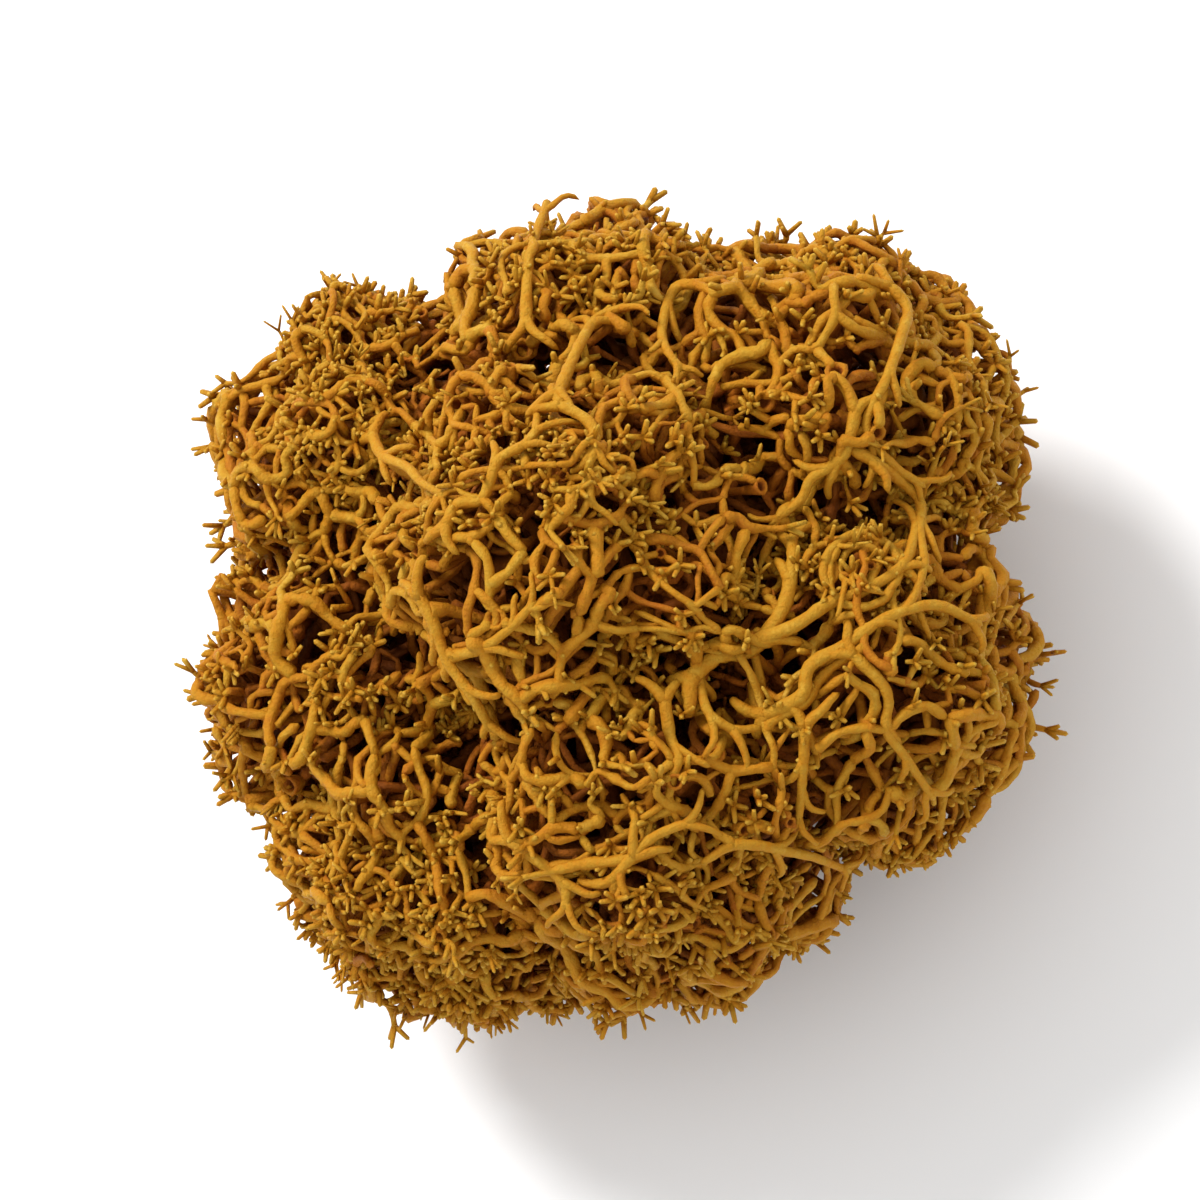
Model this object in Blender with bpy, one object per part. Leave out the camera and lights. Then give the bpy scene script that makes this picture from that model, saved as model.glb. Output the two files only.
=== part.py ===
"""A reindeer moss clump, the cushion of a star-tipped reindeer lichen, standing on its cut stems.

Eight richly forked podetia (the lichen's hollow stems) grow side by side and press against each other
into one domed cushion. Each podetium is a piece of its own: a foot cut flat where the clump was picked,
a stem that divides into limbs, a tangled middle, and sprigs that fork in three and in three again and end
in star-shaped tips. Lengths are in metres, +Z is up, and the origin lies on the ground under the middle
of the clump's bounding box.
"""

import math
import random
from collections import namedtuple

import bmesh
import bpy
import numpy as np
from mathutils import Matrix, Vector
from mathutils.bvhtree import BVHTree

MM = 0.001
UP = Vector((0, 0, 1))

# The whole clump
CLUMP_LENGTH = 56 * MM
CLUMP_WIDTH = 54 * MM
CLUMP_HEIGHT = 39 * MM

# Each podetium's head is a ball of twigs: the place of its middle, and its radius to the star tips
Head = namedtuple("Head", "x y z radius")
HEADS = {
    "podetium_middle": Head(0.5 * MM, 1.5 * MM, 23.5 * MM, 15.5 * MM),
    "podetium_upper_left": Head(-13.0 * MM, 9.5 * MM, 17.5 * MM, 14.0 * MM),
    "podetium_left": Head(-15.0 * MM, -3.5 * MM, 16.5 * MM, 13.0 * MM),
    "podetium_top": Head(-0.5 * MM, 13.0 * MM, 18.5 * MM, 14.0 * MM),
    "podetium_upper_right": Head(12.5 * MM, 9.5 * MM, 17.5 * MM, 14.5 * MM),
    "podetium_right": Head(14.0 * MM, -5.0 * MM, 17.0 * MM, 14.0 * MM),
    "podetium_bottom": Head(2.5 * MM, -12.0 * MM, 18.0 * MM, 15.0 * MM),
    "podetium_lower_left": Head(-9.5 * MM, -13.0 * MM, 15.5 * MM, 13.5 * MM),
}
CORE_DEPTH = 6.4 * MM

# How far what grows in a cell stays inside the planes that part it from its neighbours
CLEARANCE = 0.16 * MM
TWIG_CLEARANCE = 0.78 * MM
FORK_CLEARANCE = 1.3 * MM

# Foot and stem
FOOT_INSET = 0.52
FOOT_RADIUS = 1.9 * MM
FOOT_HEIGHT = 1.2 * MM
FOOT_TAPER = 0.85
STEM_RADIUS = 1.15 * MM
STEM_TAPER = 0.8
STEM_SIDES = 6
KNEE_AT = 0.3
KNEE_LIFT = 1.5 * MM

# Limbs, which leave the stem at its bend and reach out inside the head
LIMB_COUNT = 3
LIMB_SIDES = 5
LIMB_RADIUS = 0.75 * MM
LIMB_TAPER = 0.85
LIMB_START = 0.42
LIMB_LIFT = 1.0 * MM
LIMB_REACH = 0.75
ELBOW_AT = 0.5
ELBOW_OUT = 0.22

# Sprigs: how close they stand, above and on the underside, and how near their cell's rim and the ground
SPRIG_SPACING = 4.4 * MM
UNDER_SPACING = 4.0 * MM
UNDER_SLOPE = -0.45
RIM_ROOM = 0.5 * MM
LOWEST_OUTER = 1.5 * MM
LOWEST_TIP = 0.75 * MM
STEM_CONE = math.radians(24)
CANDIDATES = 900
TRIES = 12

# One sprig, from its root in the core to its tips
SPRIG_SINK = 1.2 * MM
SPRIG_RADIUS = 0.60 * MM
FORK_RADIUS = 0.52 * MM
FORK_DEPTH = 3.9 * MM
UNDER_FORK_DEPTH = 2.0 * MM
CROTCH_LIFT = 0.36 * MM
TWIG_LENGTH = 2.3 * MM
TIP_LENGTH = 2.2 * MM
TWIG_SPREAD = math.radians(40)
TIP_SPREAD = math.radians(42)
SPREAD_JITTER = math.radians(7)
SWAY = 0.25
LENGTH_JITTER = 0.18

MOSS_COLOUR = (0.40, 0.19, 0.025, 1.0)
MOSS_ROUGHNESS = 0.85


def clear_scene():
    """Removes every object of the startup scene."""
    for obj in list(bpy.data.objects):
        bpy.data.objects.remove(obj)


def moss_material(name):
    """Dyed lichen: ochre, dry and matt."""
    material = bpy.data.materials.new(name)
    material.use_nodes = True
    shader = material.node_tree.nodes["Principled BSDF"]
    shader.inputs["Base Color"].default_value = MOSS_COLOUR
    shader.inputs["Roughness"].default_value = MOSS_ROUGHNESS
    shader.inputs["Metallic"].default_value = 0.0
    return material


def middle_of(name):
    """The middle of a podetium's head."""
    return Vector(HEADS[name][:3])


def foot_of(name):
    """Where a podetium stands: under its head, drawn in towards the middle of the clump."""
    head = HEADS[name]
    return Vector((head.x * FOOT_INSET, head.y * FOOT_INSET, 0))


def cell_planes(name):
    """The planes, as (normal, offset), that part this head's ball from each of the others.

    Each goes through the circle in which two balls meet, so the planes' inside is a convex cell.
    """
    here = HEADS[name]
    middle = middle_of(name)
    planes = []
    for other_name, other in HEADS.items():
        if other_name == name:
            continue
        across = middle_of(other_name) - middle
        reach = (across.length_squared + here.radius**2 - other.radius**2) / (2 * across.length)
        normal = across.normalized()
        planes.append((normal, normal.dot(middle) + reach))
    return planes


def room(point, planes):
    """How far a point is inside the nearest plane of its cell."""
    return min(offset - normal.dot(point) for normal, offset in planes)


def bend_clear(point, planes, clearance):
    """The point, moved back into its cell where it comes nearer to a plane than the clearance.

    Moving it off one plane can bring it near another, so it goes round the planes three times.
    """
    for _ in range(3):
        for normal, offset in planes:
            beyond = normal.dot(point) - (offset - clearance)
            if beyond > 0:
                point = point - normal * beyond
    return point


def across_axis(axis, towards):
    """The unit vector square to the axis that points most towards the given direction."""
    flat = towards - axis * axis.dot(towards)
    if flat.length < 1e-6:
        flat = axis.orthogonal()
    return flat.normalized()


def ring_points(centre, axis, start, radius, sides):
    """The corners of a polygon round the axis, counterclockwise seen from its far end."""
    side = axis.cross(start)
    turns = [2 * math.pi * k / sides for k in range(sides)]
    return [centre + (start * math.cos(turn) + side * math.sin(turn)) * radius for turn in turns]


class Solid:
    """The corners and faces of one closed body while it is being drawn."""

    def __init__(self):
        self.points = []
        self.faces = []

    def add(self, point):
        """Adds one corner."""
        self.points.append(Vector(point))
        return len(self.points) - 1

    def add_ring(self, points):
        """Adds a ring of corners."""
        return [self.add(point) for point in points]

    def join(self, low, high):
        """Adds the side faces between two rings of the same count."""
        count = len(low)
        for k in range(count):
            after = (k + 1) % count
            self.faces.append((low[k], low[after], high[after]))
            self.faces.append((low[k], high[after], high[k]))

    def cap(self, ring):
        """Closes a ring with a fan."""
        for k in range(1, len(ring) - 1):
            self.faces.append((ring[0], ring[k], ring[k + 1]))

    def centre_of(self, corners):
        """The mean of some corners."""
        total = Vector((0, 0, 0))
        for corner in corners:
            total += self.points[corner]
        return total / len(corners)

    def crosses_itself(self):
        """Whether two faces that share no corner touch."""
        tree = BVHTree.FromPolygons(self.points, self.faces)
        return any(not set(self.faces[a]) & set(self.faces[b]) for a, b in tree.overlap(tree) if a < b)

    def to_object(self, name):
        """The solid as an object, not yet linked to the scene."""
        mesh = bpy.data.meshes.new(name)
        mesh.from_pydata(self.points, [], self.faces)
        return bpy.data.objects.new(name, mesh)


def tube(path, radii, sides):
    """A closed tube through the path's points, with flat ends, level where it stands on the ground."""
    solid = Solid()
    rings = []
    start = Vector((1, 0, 0))
    for k, (centre, radius) in enumerate(zip(path, radii)):
        before, after = path[max(k - 1, 0)], path[min(k + 1, len(path) - 1)]
        on_ground = centre.z == 0
        axis = UP if on_ground else (after - before).normalized()
        start = across_axis(axis, start)
        rings.append(solid.add_ring(ring_points(centre, axis, start, radius, sides)))
    for low, high in zip(rings, rings[1:]):
        solid.join(low, high)
    solid.cap(rings[0][::-1])
    solid.cap(rings[-1])
    return solid


def limb_root(name):
    """Where the limbs leave the stem."""
    return foot_of(name).lerp(middle_of(name), LIMB_START) + UP * LIMB_LIFT


def stem(name):
    """The foot, and the stem from it up to the head's middle."""
    foot, middle = foot_of(name), middle_of(name)
    knee = foot.lerp(middle, KNEE_AT) + UP * KNEE_LIFT
    path = [foot, foot + UP * FOOT_HEIGHT, knee, limb_root(name), middle]
    radii = [FOOT_RADIUS, FOOT_RADIUS * FOOT_TAPER, STEM_RADIUS, STEM_RADIUS, STEM_RADIUS * STEM_TAPER]
    return tube(path, radii, STEM_SIDES)


def limb(name, turn, planes):
    """One limb, from the stem out to the side of the core that the turn points to."""
    root = limb_root(name)
    side = Vector((math.cos(turn), math.sin(turn), 0)) * (HEADS[name].radius - CORE_DEPTH) * LIMB_REACH
    end = middle_of(name) + side
    elbow = root.lerp(end, ELBOW_AT) + side * ELBOW_OUT
    path = [bend_clear(point, planes, LIMB_RADIUS + CLEARANCE) for point in (root, elbow, end)]
    return tube(path, [LIMB_RADIUS * LIMB_TAPER**k for k in range(3)], LIMB_SIDES)


def fork(solid, ring, axis, order, planes, draw):
    """Closes a three-cornered ring with a fork of three: twigs that fork again, or star tips."""
    centre = solid.centre_of(ring)
    crotch = solid.add(bend_clear(centre + axis * CROTCH_LIFT, planes, CLEARANCE))
    for k in range(3):
        corners = (ring[k], ring[(k + 1) % 3], crotch)
        root = solid.centre_of(corners)
        outward = across_axis(axis, solid.centre_of(corners[:2]) - centre)
        spread = (TWIG_SPREAD if order else TIP_SPREAD) + draw.uniform(-SPREAD_JITTER, SPREAD_JITTER)
        direction = axis * math.cos(spread) + outward * math.sin(spread)
        direction = (direction + axis.cross(outward) * draw.uniform(-SWAY, SWAY)).normalized()
        stretch = 1 + draw.uniform(-LENGTH_JITTER, LENGTH_JITTER)
        if order == 0:
            tip = solid.add(bend_clear(root + direction * TIP_LENGTH * stretch, planes, CLEARANCE))
            for low, high in ((0, 1), (1, 2), (2, 0)):
                solid.faces.append((corners[low], corners[high], tip))
            continue
        end = bend_clear(root + direction * TWIG_LENGTH * stretch, planes, TWIG_CLEARANCE)
        direction = (end - root).normalized()
        start = across_axis(direction, solid.points[corners[0]] - root)
        next_ring = solid.add_ring(ring_points(end, direction, start, FORK_RADIUS, 3))
        solid.join(list(corners), next_ring)
        fork(solid, next_ring, direction, order - 1, planes, draw)


def sprig(root, fork_point, order, planes, draw):
    """One stem that forks in three, and again as often as its order says, into star tips.

    It is None where none is found that keeps clear of itself, of its cell's planes and of the ground.
    """
    axis = (fork_point - root).normalized()
    for _ in range(TRIES):
        solid = Solid()
        start = Matrix.Rotation(draw.uniform(0, 2 * math.pi), 3, axis) @ axis.orthogonal().normalized()
        low = solid.add_ring(ring_points(root, axis, start, SPRIG_RADIUS, 3))
        high = solid.add_ring(ring_points(fork_point, axis, start, FORK_RADIUS, 3))
        solid.join(low, high)
        solid.cap(low[::-1])
        fork(solid, high, axis, order, planes, draw)
        inside = min(room(point, planes) for point in solid.points) > CLEARANCE / 2
        above_ground = min(point.z for point in solid.points) > LOWEST_TIP
        if inside and above_ground and not solid.crosses_itself():
            return solid
    return None


def sprig_directions(name, planes, draw):
    """Directions, from a head's middle, in which its sprigs grow, spread evenly over its ball's free side.

    Out of many directions it takes, each time, the one farthest from those taken so far.
    """
    head = HEADS[name]
    middle = middle_of(name)
    golden = math.pi * (3 - math.sqrt(5))
    first_turn = draw.uniform(0, 2 * math.pi)
    free = []
    for k in range(CANDIDATES):
        height = 1 - (2 * k + 1) / CANDIDATES
        flat = math.sqrt(1 - height**2)
        turn = first_turn + golden * k
        direction = Vector((flat * math.cos(turn), flat * math.sin(turn), height))
        outer = middle + direction * head.radius
        if room(outer, planes) > RIM_ROOM and outer.z > LOWEST_OUTER:
            free.append(direction)
    free = np.array(free)
    spacing = np.where(free[:, 2] < UNDER_SLOPE, UNDER_SPACING, SPRIG_SPACING) / head.radius
    taken = [draw.randrange(len(free))]
    distance = np.linalg.norm(free - free[taken[0]], axis=1)
    while (distance / spacing).max() > 1:
        taken.append(int((distance / spacing).argmax()))
        distance = np.minimum(distance, np.linalg.norm(free - free[taken[-1]], axis=1))
    return [Vector(free[k]) for k in taken]


def sprigs(name, planes, draw):
    """A head's sprigs: those above fork twice, and those on the underside once. The stem stays free."""
    head = HEADS[name]
    middle = middle_of(name)
    down = (foot_of(name) - middle).normalized()
    solids = []
    for direction in sprig_directions(name, planes, draw):
        if direction.angle(down) < STEM_CONE:
            continue
        under = direction.z < UNDER_SLOPE
        root = middle + direction * (head.radius - CORE_DEPTH - SPRIG_SINK)
        fork_point = middle + direction * (head.radius - (UNDER_FORK_DEPTH if under else FORK_DEPTH))
        fork_point = bend_clear(fork_point, planes, FORK_CLEARANCE)
        solid = sprig(root, fork_point, 0 if under else 1, planes, draw)
        if solid:
            solids.append(solid)
    return solids


def core(name, planes):
    """The tangled middle of a head: a small ball, cut flat where it would reach a neighbour."""
    ball = bmesh.new()
    bmesh.ops.create_icosphere(ball, subdivisions=2, radius=HEADS[name].radius - CORE_DEPTH)
    bmesh.ops.translate(ball, vec=middle_of(name), verts=ball.verts)
    for normal, offset in planes:
        cut = bmesh.ops.bisect_plane(
            ball,
            geom=ball.verts[:] + ball.edges[:] + ball.faces[:],
            plane_co=normal * (offset - CLEARANCE),
            plane_no=normal,
            clear_outer=True,
        )
        rim = [element for element in cut["geom_cut"] if isinstance(element, bmesh.types.BMEdge)]
        if rim:
            bmesh.ops.edgenet_fill(ball, edges=rim)
    bmesh.ops.recalc_face_normals(ball, faces=ball.faces)
    mesh = bpy.data.meshes.new(name)
    ball.to_mesh(mesh)
    ball.free()
    return bpy.data.objects.new(name, mesh)


def join_to(body, solids):
    """Unites the solids with the body in its mesh, without the hollows and scraps that this leaves."""
    scene = bpy.context.scene.collection
    parts = bpy.data.collections.new(body.name + "_parts")
    scene.objects.link(body)
    scene.children.link(parts)
    for k, solid in enumerate(solids):
        parts.objects.link(solid.to_object(f"{body.name}_part_{k}"))
    union = body.modifiers.new("union", "BOOLEAN")
    union.operation = "UNION"
    union.operand_type = "COLLECTION"
    union.collection = parts
    union.solver = "MANIFOLD"
    graph = bpy.context.evaluated_depsgraph_get()
    mesh = bpy.data.meshes.new_from_object(body.evaluated_get(graph))
    body.modifiers.clear()
    body.data = mesh
    for part in list(parts.objects):
        bpy.data.objects.remove(part)
    bpy.data.collections.remove(parts)
    keep_largest_shell(mesh)


def keep_largest_shell(mesh):
    """Deletes every shell of the mesh but the one with the most faces."""
    shape = bmesh.new()
    shape.from_mesh(mesh)
    left = set(shape.faces)
    shells = []
    while left:
        shell = [left.pop()]
        for face in shell:
            beside = {other for edge in face.edges for other in edge.link_faces} & left
            left -= beside
            shell.extend(beside)
        shells.append(shell)
    shells.sort(key=len)
    for shell in shells[:-1]:
        bmesh.ops.delete(shape, geom=shell, context="FACES")
    bmesh.ops.triangulate(shape, faces=shape.faces)
    shape.to_mesh(mesh)
    shape.free()


def podetium(name, seed):
    """One podetium from its cut foot to its star tips."""
    draw = random.Random(seed)
    planes = cell_planes(name)
    body = core(name, planes)
    first_turn = draw.uniform(0, 2 * math.pi)
    limbs = [limb(name, first_turn + 2 * math.pi * k / LIMB_COUNT, planes) for k in range(LIMB_COUNT)]
    join_to(body, [stem(name), *limbs, *sprigs(name, planes, draw)])
    return body


def fit_to_size(objects):
    """Scales the clump, by a few hundredths, to its size, and centres it over the origin on the ground."""
    corners = np.array([vertex.co for obj in objects for vertex in obj.data.vertices])
    low, high = corners.min(axis=0), corners.max(axis=0)
    scale = np.array((CLUMP_LENGTH, CLUMP_WIDTH, CLUMP_HEIGHT)) / (high - low)
    middle = (low + high) / 2
    move = Matrix.Translation((-middle[0] * scale[0], -middle[1] * scale[1], -low[2] * scale[2]))
    for obj in objects:
        obj.data.transform(move @ Matrix.Diagonal((*scale, 1)))


def main():
    clear_scene()
    podetia = [podetium(name, seed) for seed, name in enumerate(HEADS)]
    fit_to_size(podetia)
    for obj in podetia:
        obj.data.materials.clear()
        obj.data.materials.append(moss_material(obj.name + "_moss"))


main()
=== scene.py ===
"""The looks of a reindeer moss clump: every branch of its eight podetia, drawn down to the tips.

Each podetium grows in its own ball-shaped head. Levels of forks are spread evenly under the ball's bumpy
skin, and a curved branch joins each fork to the nearest fork of the level below it, down to the boughs and
the hollow cut stems. Many forks are small flared cups with an open middle, as in the real lichen, and the
branches above them leave from the cup's rim. Two nets of rounded cells cover the skin: coarse runners on
top, and fine stars under them. Their strands fork and run on into each other over all heads, and carry
short tips at loose ends, beside the strands and in tufts. Irregular nets fill the inside. Lengths are in
millimetres until a piece becomes a mesh.
"""

import math
from collections import namedtuple

import bmesh
import bpy
import numpy as np
from mathutils import Matrix, Vector


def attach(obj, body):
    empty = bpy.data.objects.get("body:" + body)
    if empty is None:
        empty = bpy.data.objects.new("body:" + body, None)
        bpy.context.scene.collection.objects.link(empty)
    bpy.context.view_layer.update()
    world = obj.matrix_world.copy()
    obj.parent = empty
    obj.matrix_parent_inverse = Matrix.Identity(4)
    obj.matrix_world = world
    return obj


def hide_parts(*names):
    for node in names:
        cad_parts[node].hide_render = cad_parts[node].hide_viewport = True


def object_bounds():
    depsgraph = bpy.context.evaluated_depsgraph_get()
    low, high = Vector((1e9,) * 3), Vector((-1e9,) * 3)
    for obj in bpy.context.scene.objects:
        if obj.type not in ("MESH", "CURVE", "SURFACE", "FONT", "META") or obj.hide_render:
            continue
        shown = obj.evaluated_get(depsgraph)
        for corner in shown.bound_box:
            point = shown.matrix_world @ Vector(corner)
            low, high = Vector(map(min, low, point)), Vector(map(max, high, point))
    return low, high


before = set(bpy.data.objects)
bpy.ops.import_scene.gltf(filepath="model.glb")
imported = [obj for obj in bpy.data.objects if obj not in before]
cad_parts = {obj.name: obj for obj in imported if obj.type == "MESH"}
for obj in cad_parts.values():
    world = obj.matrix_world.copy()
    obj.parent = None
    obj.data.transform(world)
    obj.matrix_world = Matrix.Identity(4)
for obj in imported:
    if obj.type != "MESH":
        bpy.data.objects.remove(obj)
cad_low, cad_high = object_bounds()

MM = 0.001
SEED = 11

# The heads, as in the part: the place of each ball's middle, and its radius
Head = namedtuple("Head", "x y z radius")
HEADS = {
    "podetium_middle": Head(0.5, 1.5, 23.5, 15.5),
    "podetium_upper_left": Head(-13.0, 9.5, 17.5, 14.0),
    "podetium_left": Head(-15.0, -3.5, 16.5, 13.0),
    "podetium_top": Head(-0.5, 13.0, 18.5, 14.0),
    "podetium_upper_right": Head(12.5, 9.5, 17.5, 14.5),
    "podetium_right": Head(14.0, -5.0, 17.0, 14.0),
    "podetium_bottom": Head(2.5, -12.0, 18.0, 15.0),
    "podetium_lower_left": Head(-9.5, -13.0, 15.5, 13.5),
}

# The skin of a head: small domes, how far their slopes reach as a share of the spacing, how coarse the
# branches on each are, and the slow waves along which the strands sweep. The candidates are the even
# directions from which domes and forks are picked.
DOME_SPACING = 7.5
DOME_HEIGHT = 2.6
DOME_SLOPE = 0.75
DOME_CANDIDATES = 1200
COARSENESS = (0.76, 1.16)
SWEEP_LENGTH = 13.0
SWEEP_WAVES = 4
WAVE_STARTS = 6.3
FORK_CANDIDATES = 8000

# A level of forks: how deep they lie under the skin, how much that differs, how far apart they are, the
# radii of a branch and its cup, the room it needs in the head's cell, the share of cups, the branch's age
# from root to end, which is higher at deeper levels so that these are coloured darker as painted shade as
# well as older, how finely it is drawn, and how much longer than wide the cells of a net are along the
# sweep of its strands
LEVEL_FIELDS = "depth spread spacing radius rim room cups ages sides steps stretch"
Level = namedtuple("Level", LEVEL_FIELDS, defaults=(1,))
RUNNERS = Level(0.7, 0.4, 2.3, 0.36, 0.58, 0.3, 0.3, (0.5, 0.24), 6, 5, 1.8)
STARS = Level(1.2, 0.35, 1.27, 0.27, 0.48, 0.25, 0.15, (0.55, 0.36), 5, 5, 1.25)
UNDERGROWTH = Level(3.2, 0.8, 2.25, 0.33, 0.58, 0.4, 0.08, (0.78, 0.66), 5, 4)
FORKS = Level(4.4, 0.5, 3.6, 0.50, 0.80, 0.9, 1, (0.8, 0.6), 7, 7)
DEEP_GROWTH = Level(5.6, 0.9, 2.8, 0.46, 0.58, 0.4, 0, (0.85, 0.8), 4, 4)
LIMBS = Level(7.4, 0.5, 5.0, 0.72, 0.95, 1.2, 1, (0.95, 0.85), 7, 7)
BOUGHS = Level(10.2, 0.4, 6.0, 0.80, 1.0, 1.5, 1, (1.0, 0.85), 8, 9)

# Nothing is drawn with its middle lower than this, and forks stay higher
LOWEST_CENTRE = 0.6
LOWEST_FORK = LOWEST_CENTRE + 0.8

# A net of strands over a level's forks: the longest edge, the strands' radius, the shares of loose ends and
# of tips at the strands' sides, the sideways wave, the age up to a loose end, which is higher in deeper nets
# so that these are coloured darker as painted shade as well as older, and how finely it is drawn
Net = namedtuple("Net", "reach radius loose thorns wave ages sides steps")
RUNNER_NET = Net(3.0, 0.36, 0.22, 0.12, 0.12, (0.2, 0.06), 6, 3)
OUTER_NET = Net(1.8, 0.29, 0.15, 0.08, 0, (0.28, 0.12), 5, 3)
UNDER_NET = Net(5.0, 0.36, 0.20, 0, 0.22, (0.64, 0.54), 4, 2)
DEEP_NET = Net(6.0, 0.55, 0.15, 0, 0.2, (0.85, 0.8), 4, 2)
INNER_NET = Net(8.0, 0.75, 0.1, 0, 0.2, (0.95, 0.9), 4, 2)

# Edges: the share of them that a third fork may come near, how near, the most that they reach across a
# seam as a share of the net's reach, and where along an edge a pit would break it
EXTRA_EDGES = 0.3
NEAR_THIRD = 0.8
ACROSS_SEAMS = 0.8
PIT_TESTS = np.array(((0.35,), (0.65,)))

# Strands: the bend at which two edges run on into each other, how far that draws a fork along, how high a
# strand crosses over another, how many forks one runs over, and how much their widths and ages differ
STRAIGHT = -0.35
SLACK = 0.2
CROSSING = 0.7
STRAND_FORKS = (3, 8)
STRAND_SIZES = (0.75, 1.25)
STRAND_WIDTHS = (1.12, 0.82)
STRAND_SWELL = 0.15
STRAND_UNEVEN = 0.07
STRAND_AGES = 0.08
YOUNGEST = 0.12

# Waves: how much their swing differs, and how far they rise and fall about a middle that lies above
SWING_STRAY = 0.05
HEAVE = 0.4
HEAVE_MIDDLE = 0.1

# The ends of strands: how narrow one starts, how blunt it ends, where it sits on a cup's rim, and how far
# off the place lies that bends it there: up from a cup, back from a strand that it joins, or free
START_TAPER = 0.4
STRAND_BLUNT = 0.5
STRAND_ON_RIM = 0.72
BEND_AT_CUP, BEND_AT_JOINT, BEND_FREE = 0.2, 0.7, 0.5

# Loose ends: how far along their edge they reach, how they curl, rise and point, over how many edges they
# narrow, and how much of their width is left
LOOSE_REACH = 0.8
LOOSE_CURL = 0.25
LOOSE_RISE = (0.2, 1.0)
LOOSE_OUTWARD, LOOSE_AHEAD = 1.5, 0.3
LOOSE_TAPER = 1.25
LOOSE_WIDTH = 0.6

# The rounded cells of the two outer nets: how much they differ in width, how often and how far their
# corners are pulled even, how far these then stray, and the shares of their sides that are missing and of
# their corners that a branch carries
CELL_SPREAD = (0.7, 1.5)
EVENINGS = 1
EVENING_PARTS = 6
CORNER_STRAY = 0.8
GAPS = 0.12
CARRIED = 0.2

# Branches: how they leave a cup (along its axis, round its rim and straight ahead) and arrive (ahead and
# outward), where on the rim they sit and how deep, how much they bend and wander, how they swell at the
# root, how their tones differ, how blunt they end, and how lumpy every tube is
LEAVE_ALONG, LEAVE_AROUND, LEAVE_AHEAD = 0.45, 0.35, 0.6
ARRIVE_AHEAD, ARRIVE_OUTWARD, ARRIVE_STRAY = 0.55, 0.6, 0.22
SEAT_STRAY = 0.2
SEAT_ON_RIM = 0.68
SEAT_DEPTH = 0.12
BEND = 1.1
SWAY = (0.02, 0.09)
BRANCH_WIDTHS = (0.85, 1.15)
BRANCH_ROOT, BRANCH_ROOT_LENGTH = 0.16, 0.25
BRANCH_UNEVEN = 0.06
TONE_DRIFT = 0.12
TONE_SPREAD = 0.15
MIDDLE_TONE = 0.5
BLUNT_END = 0.4
LUMPS = 0.05

# Cups: how much they differ, the share of wide ones, where a branch starts to flare into one, and the
# inner profile of a cup with a rim of a given radius, as heights and as shares of the rim
CUP_SIZES = (0.85, 1.25)
WIDE_CUPS = 0.15
WIDE_CUP_SIZES = (1.1, 1.3)
FLARE_START = 0.62
PROFILE_RIM = 0.7
CUP_HEIGHTS = np.array((0.13, 0.03, -0.4, -0.7))
CUP_WIDTHS = np.array((0.84, 0.60, 0.42))
CUP_SIDES = 10

# Stems: how near the clump's middle they stand, as a share of their head's distance, how far apart, how
# they arrive, how wide they are, and the profile of the cut end: heights, shares of the radius and ages
FOOT_INSET = 0.52
STEM_PITCH = 0.95
STEM_STRAY = (0.97, 1.1)
STEM_TURN = 0.1
STEM_RING = 1.0
STEM_AHEAD, STEM_OUTWARD = 0.8, 0.3
STEM_RADIUS = (0.72, 0.90)
STEM_UNEVEN = 0.05
STEM_CUPS = (0.9, 1.1)
STEM_FLARE_START = 0.8
STEM_TONES = (0.3, 0.7)
CUT_TOP = 1.0
CUT_HEIGHTS = np.array((0.9, 0.04, 0.0, 0.0, 0.06))
CUT_WIDTHS = np.array((0.35, 0.45, 0.52, 0.95, 1.05))
CUT_AGES = (1.0, 1.0, 0.6, 0.6, 0.95)
# Painted shade: the age, and so the darkest brown colour, given to the inner wall and bottom of every cup
HOLLOW_SHADE_AGE = 1.0

# The photograph looks down on the clump from its lower right, with the clump's +Y up in the picture.
# Places in the picture are millimetres across and up from its middle, where the clump's middle stands.
VIEW_ELEVATION = math.radians(68.4)
VIEW_AZIMUTH = math.radians(46.8)
VIEW_DISTANCE = 0.65
MIDDLE_HEIGHT = 19.5

# Dark pits between the strands: places in the picture and radii
PITS = (
    (10.2, -3.8, 1.4), (8.0, -2.3, 1.0), (7.0, -4.9, 1.0), (4.8, -8.5, 1.1), (5.2, -4.1, 0.9),
    (-4.6, 5.9, 1.2), (-4.9, 16.4, 1.2), (-7.1, -7.4, 1.2), (-10.0, 0.9, 1.3), (-14.3, -3.8, 1.1),
    (-12.5, -4.1, 0.8), (5.9, -12.4, 0.9), (-4.9, -18.9, 1.1), (-0.6, -18.5, 0.9), (-15.0, 7.7, 0.9),
    (-10.3, 7.7, 0.9), (8.4, 9.5, 0.9), (16.7, 13.5, 1.1), (17.0, 15.7, 0.9), (17.8, 8.1, 0.9),
    (9.8, 5.9, 1.0), (14.9, 4.9, 0.8), (13.4, -2.0, 1.0), (-19.0, -2.0, 0.9), (-10.0, -8.5, 0.9),
    (-1.7, 13.5, 0.9), (3.7, -5.9, 0.8), (13.8, -11.3, 0.8), (7.3, 19.0, 0.8), (5.2, 6.3, 0.9),
    (13.1, -17.3, 0.8), (12.2, 0.3, 0.8), (2.9, 9.7, 0.7), (-7.1, 9.6, 0.7), (-11.7, 14.2, 0.7),
)

# How far a pit reaches above and below its mouth, how wide a rim of net stands round it, how much it
# leans towards the eye, and how near its mouth has to be to a head's ball to count as its own
PIT_REACH = (2.5, 3.6)
PIT_RIM = 0.4
PIT_LEAN = 0.7
PIT_NEAR = 1.5

# The pits on the sides of each head: how many, their radii, and how they point down more than up
SIDE_PITS = 2
SIDE_PIT_RADIUS = (0.7, 1.1)
SIDE_PIT_FALL, SIDE_PIT_LIFT = 0.6, 0.3

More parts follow.
